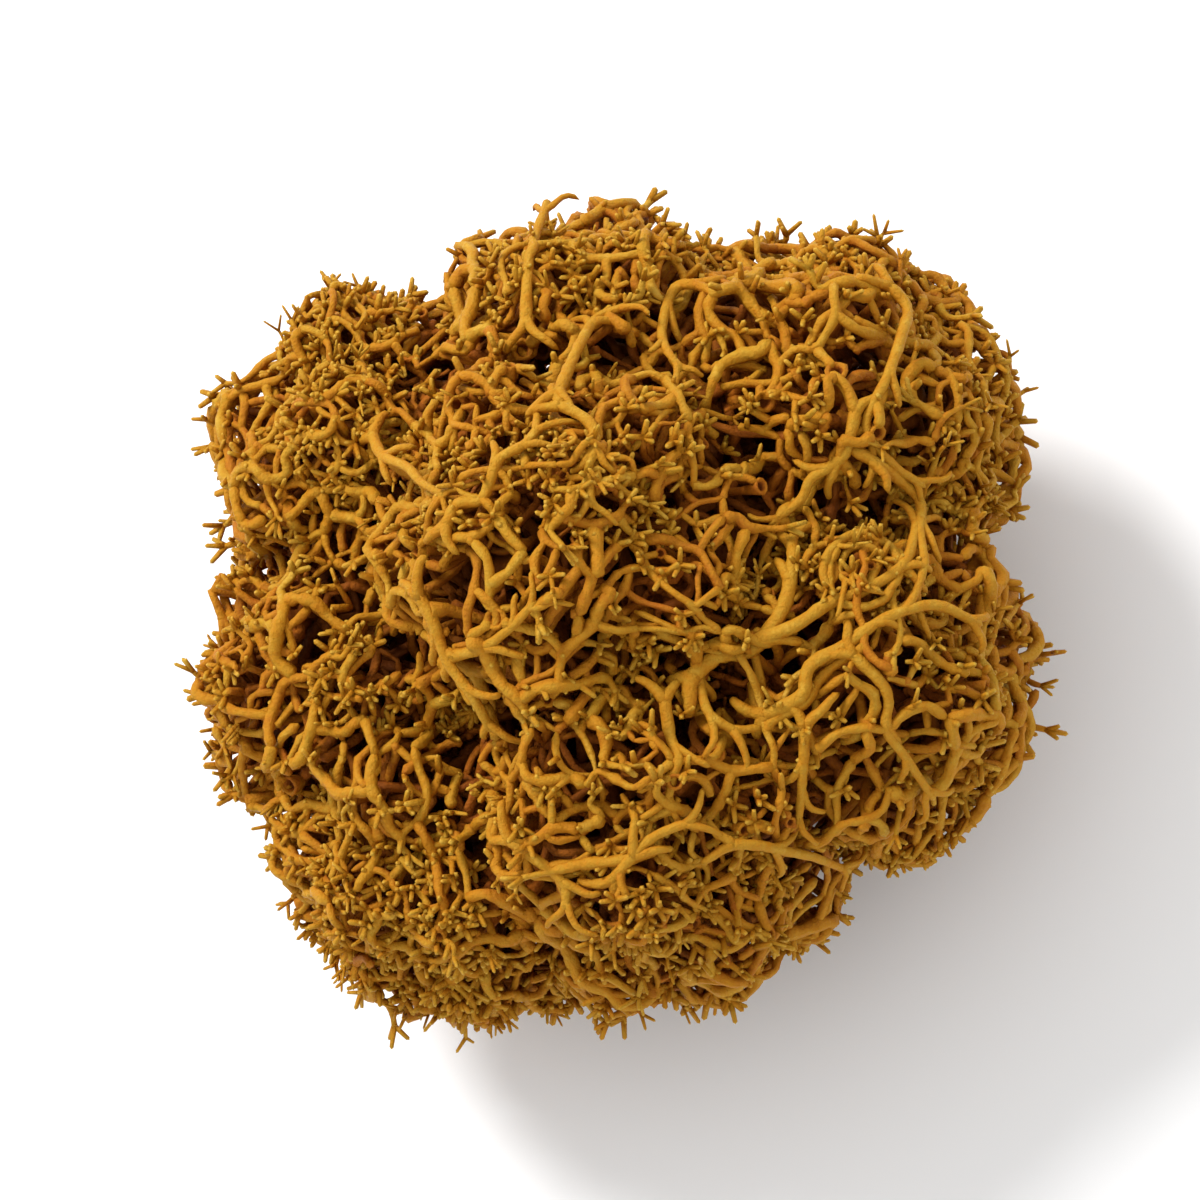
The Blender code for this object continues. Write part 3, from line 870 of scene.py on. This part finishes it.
class Web:
    """The strands over a group of forks: which edge runs on into which, and the chains that makes."""

    def __init__(self, forks, edges, rng):
        self.forks = forks
        self.rng = rng
        self.edges = edges
        self.at = [[] for _ in forks.points]
        for edge, (i, j) in enumerate(self.edges):
            self.at[i].append((edge, j))
            self.at[j].append((edge, i))
        self.onward, self.above = {}, set()
        for i in range(len(forks)):
            if forks.rims[i] == 0:
                self.pair_up(i)
        self.places = forks.points.copy()
        for edge, i in self.onward:
            self.places[i] += (forks.points[self.far(edge, i)] - forks.points[i]) * SLACK

    def far(self, edge, i):
        """The fork at the other end of an edge."""
        a, b = self.edges[edge]
        return b if a == i else a

    def pair_up(self, i):
        """Pairs the edges that run on most straightly over a fork. A second pair crosses above the first."""
        points = self.forks.points
        ways = {edge: unit(points[j] - points[i]) for edge, j in self.at[i]}
        bends = sorted((float(ways[a] @ ways[b]), a, b) for a in ways for b in ways if a < b)
        taken = set()
        for bend, a, b in bends:
            if bend < STRAIGHT and a not in taken and b not in taken:
                if taken:
                    self.above |= {(a, i), (b, i)}
                taken |= {a, b}
                self.onward[a, i], self.onward[b, i] = b, a

    def chains(self):
        """Strands as lists of forks, each with the edges it runs along. They end where a head ends."""
        owners = self.forks.owners
        used = set()
        for edge in self.rng.permutation(len(self.edges)).tolist():
            if edge in used:
                continue
            used.add(edge)
            nodes, along = list(self.edges[edge]), [edge]
            most = int(self.rng.integers(*STRAND_FORKS))
            for _ in range(2):
                while len(nodes) < most and owners[nodes[-1]] == owners[nodes[0]]:
                    step = self.onward.get((along[-1], nodes[-1]))
                    if step is None or step in used:
                        break
                    used.add(step)
                    nodes.append(self.far(step, nodes[-1]))
                    along.append(step)
                nodes.reverse()
                along.reverse()
            yield nodes, along

    def end(self, i, j, edge):
        """Where a strand along an edge from fork i ends there, and a place beyond that bends it so."""
        forks = self.forks
        place, ahead = self.places[i], self.places[j] - self.places[i]
        if forks.rims[i] > 0:
            around = square_to(forks.axes[i], ahead)
            return place + around * forks.rims[i] * STRAND_ON_RIM, place + forks.axes[i] * BEND_AT_CUP
        if (edge, i) in self.onward:
            return place, (place + self.places[self.far(self.onward[edge, i], i)]) / 2
        for other_edge, other in self.at[i]:
            way = unit(self.places[other] - place)
            if (other_edge, i) in self.onward and way @ ahead > 0:
                return place, place - way * length(ahead) * BEND_AT_JOINT
        return place, place - ahead * BEND_FREE

    def controls(self, nodes, along, wave, loose):
        """The places a strand is drawn through, with one more beyond each end that bends the end."""
        forks, rng = self.forks, self.rng
        start, before = self.end(nodes[0], nodes[1], along[0])
        finish, after = self.end(nodes[-1], nodes[-2], along[-1])
        points = self.places[nodes]
        places = [before, start]
        swing = abs(rng.normal(0, wave)) * rng.choice((-1, 1))
        heave = rng.uniform(0, HEAVE) * rng.choice((-1, 1))
        for k in range(1, len(nodes)):
            i, j = nodes[k - 1], nodes[k]
            gap = points[k] - points[k - 1]
            swing, heave = -swing, -heave
            aside = np.cross(unit(forks.outward[i] + forks.outward[j]), gap)
            aside = aside * (swing + rng.normal(0, SWING_STRAY))
            if wave:
                rise = forks.outward[j] * (heave + HEAVE_MIDDLE)
                places.append((points[k - 1] + points[k]) / 2 + aside + rise)
            lift = CROSSING * forks.sizes[j] if (along[k - 1], j) in self.above else 0.0
            places.append(points[k] + forks.outward[j] * lift)
        places[-1] = finish
        if loose:
            places[-1], after = self.loose_end(nodes[-2], nodes[-1])
        return np.array(places + [after])

    def loose_end(self, i, j):
        """Where a strand from fork i ends short of fork j, curled and risen, and a place beyond it."""
        forks, rng = self.forks, self.rng
        gap = forks.points[j] - forks.points[i]
        curl = np.cross(forks.outward[j], gap) * rng.normal(0, LOOSE_CURL)
        rise = forks.outward[j] * rng.uniform(*LOOSE_RISE)
        place = forks.points[i] + gap * LOOSE_REACH + curl + rise
        return place, place + forks.outward[j] * LOOSE_OUTWARD + gap * LOOSE_AHEAD


def grouped_strands(web, net, rng):
    """A web's strands in groups that share one podetium and one number of places to be drawn through."""
    forks = web.forks
    groups = {}
    for nodes, along in web.chains():
        loose = rng.uniform() < net.loose
        controls = web.controls(nodes, along, net.wave, loose)
        size = forks.sizes[nodes].mean() * rng.uniform(*STRAND_SIZES)
        owner = forks.owners[nodes[len(nodes) // 2]]
        strand = (controls, size, forks.tones[nodes[0]], loose, forks.outward[nodes[-1]])
        groups.setdefault((len(controls), owner), []).append(strand)
    return sorted(groups.items())


def per_edge(net):
    """How many places of a strand each edge holds: a waved one has another midway."""
    return 2 if net.wave else 1


def draw_strands(piece, net, controls, sizes, tones, loose, rng):
    """Draws one group of a net's strands, and returns their centres, axes, radii and tones."""
    number = len(controls)
    centres, axes = spline(controls, net.steps)
    rings = centres.shape[1]
    knots = np.linspace(0, controls.shape[1] - 3, rings)
    swell = 1 + STRAND_SWELL * np.cos(math.pi * knots * (2 / per_edge(net))) ** 3
    swell = swell + STRAND_UNEVEN * rng.normal(size=(number, rings))
    radii = net.radius * sizes[:, None] * swell * np.linspace(*STRAND_WIDTHS, rings)
    radii[:, 0] *= START_TAPER
    taper = np.clip((knots[-1] - knots) / (LOOSE_TAPER * per_edge(net)), 0, 1)
    radii = np.where(loose[:, None], radii * (LOOSE_WIDTH + (1 - LOOSE_WIDTH) * taper), radii)
    ages = np.maximum(net.ages[0] + STRAND_AGES * rng.normal(size=(number, 1)), YOUNGEST)
    ages = np.repeat(ages, rings, axis=1)
    ages = np.where(loose[:, None], ages + (net.ages[1] - net.ages[0]) * (1 - taper), ages)
    tones = np.clip(tones + rng.normal(0, TONE_DRIFT, number), 0, 1)
    line = blunt(centres, axes, radii[:, -1:] * STRAND_BLUNT)
    piece.sweep(line, axes, radii, net.sides, ages, tones, rng)
    return centres, axes, radii, tones


def draw_net(pieces, forks, net, rng, cell_sides=()):
    """Draws the strands over the forks, and returns their loose ends and places along them."""
    edges = across_seams(forks, net, cell_sides, rng) if len(cell_sides) else loose_edges(forks, net, rng)
    ends, beside = [], []
    for (places, owner), group in grouped_strands(Web(forks, edges, rng), net, rng):
        controls, sizes, tones, loose, outward = (np.array(values) for values in zip(*group))
        centres, axes, radii, tones = draw_strands(pieces[owner], net, controls, sizes, tones, loose, rng)
        owners = np.full(len(group), owner)
        along, whole = (centres, axes, radii), (tones, outward, owners)
        ends.append([values[loose, -1] for values in along] + [values[loose] for values in whole])
        for _ in range((places - 3) // per_edge(net)):
            row = np.flatnonzero(rng.uniform(size=len(group)) < net.thorns)
            at = rng.integers(1, centres.shape[1] - 1, len(row))
            beside.append([values[row, at] for values in along] + [values[row] for values in whole])
    return [np.concatenate(v) for v in zip(*ends)], [np.concatenate(v) for v in zip(*beside)]


def coil():
    """The places in the picture along a strand that winds inwards."""
    across, up, wide, narrow, turns = COIL
    t = np.linspace(0, 1, COIL_PLACES)
    angle = FULL_TURN * turns * t
    radius = wide + (narrow - wide) * t
    return list(zip(across + radius * np.cos(angle), up + radius * np.sin(angle)))


def nearest_head(place):
    """The number of the head whose ball a place lies deepest in."""
    depths = [length(middle_of(head) - place) ** 2 - head.radius**2 for head in HEADS.values()]
    return int(np.argmin(depths))


def draw_arms(piece, centres, axes, radii, sprouts, rng):
    """Draws the arms of a leader down into the net, but for the first two where it sprouts from another."""
    rings = len(centres)
    places = np.concatenate(((1, 1, rings - 2, rings - 2), rng.integers(ARM_MARGIN, rings - ARM_MARGIN, 2)))
    ahead = axes[places] * ARM_AHEAD[:, None]
    outward = unit(centres[places] - piece.middle)
    aside = np.cross(ahead, outward) * ARM_ASIDE[:, None]
    leave = unit(ahead + aside * rng.uniform(*ARM_SPLAY, (ARMS, 1)))
    reach = (ahead * ARM_REACH_AHEAD + aside * ARM_REACH_ASIDE) * rng.uniform(*ARM_LENGTHS, (ARMS, 1))
    end = centres[places] + reach - outward * ARM_DROP
    arrive = unit(aside * ARM_ARRIVE_ASIDE + ahead * ARM_ARRIVE_AHEAD - outward)
    lines, ways = curve(centres[places], leave, end, arrive, ARM_RINGS + 1, BEND, rng)
    widths = radii[places][:, None] * np.linspace(*ARM_WIDTHS, ARM_RINGS)
    kept = slice(2 if sprouts else 0, None)
    ages = np.full(widths.shape, ARM_AGE)
    tones = np.full(ARMS, MIDDLE_TONE)
    piece.sweep(lines[kept], ways[kept], widths[kept], ARM_SIDES, ages[kept], tones[kept], rng)


def draw_leaders(pieces, rng):
    """Draws the thick strands on top, each with arms that fork off at both ends and run into the net."""
    back = view_directions()[2]
    for radius, way in LEADERS + ((COIL_RADIUS, coil()),):
        points = np.array([seen(across, up)[0] - back * rng.uniform(*LEADER_DEPTH) for across, up in way])
        points += rng.normal(0, LEADER_WANDER, points.shape)
        controls = np.concatenate(([points[0] * 2 - points[1]], points, [points[-1] * 2 - points[-2]]))
        centres, axes = spline(controls[None], LEADER_STEPS)
        rings = centres.shape[1]
        piece = pieces[nearest_head(points[len(points) // 2])]
        uneven = 1 + LEADER_UNEVEN * rng.normal(size=(1, rings))
        radii = radius * np.linspace(*LEADER_WIDTHS, rings) * uneven
        tapered = radii * np.where(np.arange(rings) == 0, START_TAPER, 1)
        line = blunt(centres, axes, LEADER_END)
        ages = np.full((1, rings), LEADER_AGE)
        piece.sweep(line, axes, tapered, LEADER_SIDES, ages, np.array((MIDDLE_TONE,)), rng)
        sprouts = any(way[0] in other[1:] for _, other in LEADERS)
        draw_arms(piece, centres[0], axes[0], radii[0], sprouts, rng)


def draw_tips(pieces, ends, tips, rng):
    """Draws a few short blunt tips round each place: a strand's end, its side or the top of a fork."""
    owners = ends[-1]
    for owner, piece in enumerate(pieces):
        mine = [np.repeat(values[owners == owner], tips.count, axis=0) for values in ends]
        places, directions, radii, tones, outward, _ = mine
        number = len(places)
        turn = np.arange(number) % tips.count * FULL_TURN / tips.count
        turn = turn + rng.uniform(-TIP_TURN, TIP_TURN, number)
        around = turned(directions, square_to(directions, outward), turn)
        angle = np.radians(rng.uniform(*tips.splay, number))[:, None]
        leave = unit(directions * np.cos(angle) + around * np.sin(angle))
        end = raised(places + leave * tips.length * rng.uniform(*TIP_LENGTHS, (number, 1)))
        centres = np.stack((places, end, end + leave * TIP_POINT), axis=1)
        axes = np.repeat(leave[:, None], 2, axis=1)
        widths = np.minimum(radii, TIP_RADIUS)[:, None] * TIP_WIDTHS
        age = np.tile(np.linspace(*tips.ages, 3), (number, 1))
        piece.sweep(centres, axes, widths, TIP_SIDES, age, tones, rng)


def draw_tufts(pieces, stars, rng):
    """Draws tufts of tips on top of some of the stars, mostly where the branches are fine."""
    tufted = rng.uniform(size=len(stars)) < np.where(stars.sizes < FINE, *TUFTED)
    radii = np.full(len(stars), TUFT_RADIUS)
    tops = (stars.points, stars.outward, radii, stars.tones, stars.outward, stars.owners)
    draw_tips(pieces, [values[tufted] for values in tops], TUFT_TIPS, rng)


def grow_cells(piece, below, skin, level, rng):
    """Draws the branches that carry some corners of a net of cells. Returns all corners, and the sides."""
    points, outward, sides = skin.cells(level)
    count = len(points)
    carried = rng.uniform(size=count) < CARRIED
    held = draw_branches(piece, below, skin, level, rng, (points[carried], outward[carried]))
    sizes = skin.coarseness(outward)
    tones = np.clip(MIDDLE_TONE + TONE_SPREAD * rng.normal(size=count), 0, 1)
    owners = np.full(count, below.owners[0])
    corners = Forks(points, outward.copy(), outward, np.zeros(count), tones, sizes, owners)
    for field in Forks.FIELDS:
        getattr(corners, field)[carried] = getattr(held, field)
    return corners, sides


def grow(piece, name, rng):
    """Draws one podetium's stems and levels of branches. Returns the nets' forks and the cells' sides."""
    skin = Skin(name, rng)
    boughs = draw_stems(piece, name, skin, rng)
    limbs = draw_branches(piece, boughs, skin, LIMBS, rng)
    forks = draw_branches(piece, limbs, skin, FORKS, rng)
    runners = grow_cells(piece, forks, skin, RUNNERS, rng)
    stars = grow_cells(piece, forks, skin, STARS, rng)
    under = draw_branches(piece, Forks.joined((forks, limbs)), skin, UNDERGROWTH, rng)
    inmost = Forks.joined((limbs, boughs))
    deep = draw_branches(piece, inmost, skin, DEEP_GROWTH, rng)
    return runners, stars, under, deep, inmost


def draw_outer_net(pieces, groups, net, end_tips, side_tips, rng):
    """Draws a net of cells over all heads, and its tips. Returns its corners."""
    corners, sides = zip(*groups)
    first = np.cumsum([0] + [len(group) for group in corners[:-1]])
    corners = Forks.joined(corners)
    sides = np.concatenate([group + start for group, start in zip(sides, first)])
    ends, beside = draw_net(pieces, corners, net, rng, sides)
    draw_tips(pieces, ends, end_tips, rng)
    draw_tips(pieces, beside, side_tips, rng)
    return corners


def draw_clump():
    """All podetia, each a piece, with the nets of strands that run over the heads and across their seams."""
    rng = np.random.default_rng(SEED)
    pieces = [Piece(head) for head in HEADS.values()]
    grown = [grow(piece, name, rng) for piece, name in zip(pieces, HEADS)]
    runners, stars, under, deep, inmost = zip(*grown)
    for groups, net in ((inmost, INNER_NET), (deep, DEEP_NET), (under, UNDER_NET)):
        draw_net(pieces, Forks.joined(groups), net, rng)
    draw_leaders(pieces, rng)
    draw_outer_net(pieces, runners, RUNNER_NET, RUNNER_END_TIPS, RUNNER_SIDE_TIPS, rng)
    stars = draw_outer_net(pieces, stars, OUTER_NET, STAR_END_TIPS, STAR_SIDE_TIPS, rng)
    draw_tufts(pieces, stars, rng)
    return dict(zip(HEADS, pieces))


def fit_to_frame(pieces):
    """Scales the drawn clump, by a few hundredths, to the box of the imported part."""
    every = np.concatenate([points for piece in pieces.values() for points in piece.points])
    low, high = every.min(axis=0), every.max(axis=0)
    goal_low, goal_high = np.array(cad_low) / MM, np.array(cad_high) / MM
    scale = (goal_high - goal_low) / (high - low)
    for piece in pieces.values():
        piece.points = [(points - low) * scale + goal_low for points in piece.points]


def add_object(name, data):
    """Puts a mesh, a lamp or a camera into the scene."""
    obj = bpy.data.objects.new(name, data)
    bpy.context.scene.collection.objects.link(obj)
    return obj


def set_inputs(tree, shader, **values):
    """Sets or links the inputs of a shader node by name, with underscores for spaces."""
    for key, value in values.items():
        socket = shader.inputs[key.replace("_", " ")]
        if isinstance(value, bpy.types.NodeSocket):
            tree.links.new(value, socket)
        else:
            socket.default_value = value


def node(tree, kind, **values):
    """Adds a shader node and sets its properties and inputs by name."""
    made = tree.nodes.new(kind)
    for key in [key for key in values if hasattr(made, key)]:
        setattr(made, key, values.pop(key))
    set_inputs(tree, made, **values)
    return made


def colour_ramp(tree, colours, position):
    """The colour at a position on a ramp through given colours."""
    ramp = node(tree, "ShaderNodeValToRGB", Fac=position)
    stops = ramp.color_ramp.elements
    first, *between, last = colours
    stops[0].position, stops[0].color = first[0], (*first[1], 1)
    stops[1].position, stops[1].color = last[0], (*last[1], 1)
    for place, colour in between:
        stops.new(place).color = (*colour, 1)
    return ramp.outputs["Color"]


def new_material(name):
    """A material with its node tree, its shader and the place on the object."""
    material = bpy.data.materials.new(name)
    material.use_nodes = True
    tree = material.node_tree
    place = node(tree, "ShaderNodeTexCoord").outputs["Object"]
    return material, tree, tree.nodes["Principled BSDF"], place


def moss_colour(tree, place):
    """The strands' colour: by age and painted shade, darker deeper in, mottled, and tinted by the strand's
    tone.
    """
    age = node(tree, "ShaderNodeAttribute", attribute_name="age").outputs["Fac"]
    tone = node(tree, "ShaderNodeAttribute", attribute_name="tone").outputs["Fac"]
    noise = node(tree, "ShaderNodeTexNoise", Vector=place, Scale=1100.0, Detail=6.0, Roughness=0.7)
    shift = node(tree, "ShaderNodeMath", operation="MULTIPLY_ADD")
    shift.inputs[1].default_value = MOTTLE
    shift.inputs[2].default_value = -MOTTLE / 2
    tree.links.new(noise.outputs["Fac"], shift.inputs[0])
    shaded_age = node(tree, "ShaderNodeMath", operation="ADD", use_clamp=True)
    tree.links.new(age, shaded_age.inputs[0])
    tree.links.new(shift.outputs["Value"], shaded_age.inputs[1])
    blend = node(tree, "ShaderNodeMix", data_type="RGBA", blend_type="MULTIPLY", Factor=1.0)
    tree.links.new(colour_ramp(tree, AGE_AND_SHADE_COLOURS, shaded_age.outputs["Value"]), blend.inputs["A"])
    tree.links.new(colour_ramp(tree, TONE_TINTS, tone), blend.inputs["B"])
    return blend.outputs["Result"]


def moss_material():
    """Preserved, dyed lichen: matte ochre strands, pale yellow tips, brown and painted darker inside as
    shade.
    """
    material, tree, shader, place = new_material("dyed_moss")
    noise = node(tree, "ShaderNodeTexNoise", Vector=place, Scale=3000.0, Detail=4.0, Roughness=0.65)
    grain = noise.outputs["Fac"]
    bump = node(tree, "ShaderNodeBump", Height=grain, Strength=1.0, Distance=0.00022)
    rough = node(tree, "ShaderNodeMapRange", Value=grain, From_Min=0.3, From_Max=0.7, To_Min=0.5, To_Max=0.7)
    set_inputs(tree, shader, Base_Color=moss_colour(tree, place), Specular_IOR_Level=0.12)
    set_inputs(tree, shader, Normal=bump.outputs["Normal"], Roughness=rough.outputs["Result"])
    return material


def stage_material():
    """The plain white surface under the clump, with the faintest grain."""
    material, tree, shader, place = new_material("paper_white")
    grain = node(tree, "ShaderNodeTexNoise", Vector=place, Scale=40.0, Detail=2.0)
    shade = colour_ramp(tree, FLOOR_SHADES, grain.outputs["Fac"])
    set_inputs(tree, shader, Base_Color=shade, Roughness=0.9)
    return material


def make_floor():
    """A wide white floor at the height of the cut feet."""
    half = FLOOR_HALF
    corners = [(-half, -half, 0), (half, -half, 0), (half, half, 0), (-half, half, 0)]
    mesh = bpy.data.meshes.new("floor")
    mesh.from_pydata(corners, [], [(0, 1, 2, 3)])
    mesh.materials.append(stage_material())
    add_object("floor", mesh)


def make_lights():
    """A soft key from the photograph's upper left and a bright, even sky."""
    scene = bpy.context.scene
    scene.world = bpy.data.worlds.new("studio")
    scene.world.use_nodes = True
    tree = scene.world.node_tree
    set_inputs(tree, tree.nodes["Background"], Color=(1.0, 1.0, 1.0, 1), Strength=SKY_STRENGTH)
    key = bpy.data.lights.new("key", "AREA")
    key.shape = "DISK"
    key.size = LAMP_SIZE
    key.energy = LAMP_POWER
    lamp = add_object("key", key)
    lamp.location = LAMP_PLACE
    lamp.rotation_mode = "QUATERNION"
    lamp.rotation_quaternion = (LAMP_AIM - LAMP_PLACE).to_track_quat("-Z", "Y")
    scene.view_settings.view_transform = "Standard"


def make_camera():
    """A long lens at the photograph's viewing angle and distance."""
    camera = bpy.data.cameras.new("camera")
    camera.sensor_width = SENSOR
    camera.lens = SENSOR * VIEW_DISTANCE / FRAME_WIDTH
    camera.clip_start = NEAREST_SEEN
    eye = add_object("camera", camera)
    right, up, back = (Vector(way) for way in view_directions())
    centre = Vector((np.array(cad_low) + np.array(cad_high)) / 2)
    turn = Matrix((right, up, back)).transposed().to_4x4()
    eye.matrix_world = Matrix.Translation(centre + back * VIEW_DISTANCE) @ turn
    bpy.context.scene.camera = eye


def main():
    """Sets up the camera, the light and the floor, draws the clump and makes its pieces."""
    make_camera()
    make_lights()
    make_floor()
    material = moss_material()
    pieces = draw_clump()
    fit_to_frame(pieces)
    for name, piece in pieces.items():
        obj = piece.to_object(name + "_branches", material)
        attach(obj, "root")
        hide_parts(name)
        print(obj.name, sum(len(face) - 2 for face in piece.faces), "triangles")


main()
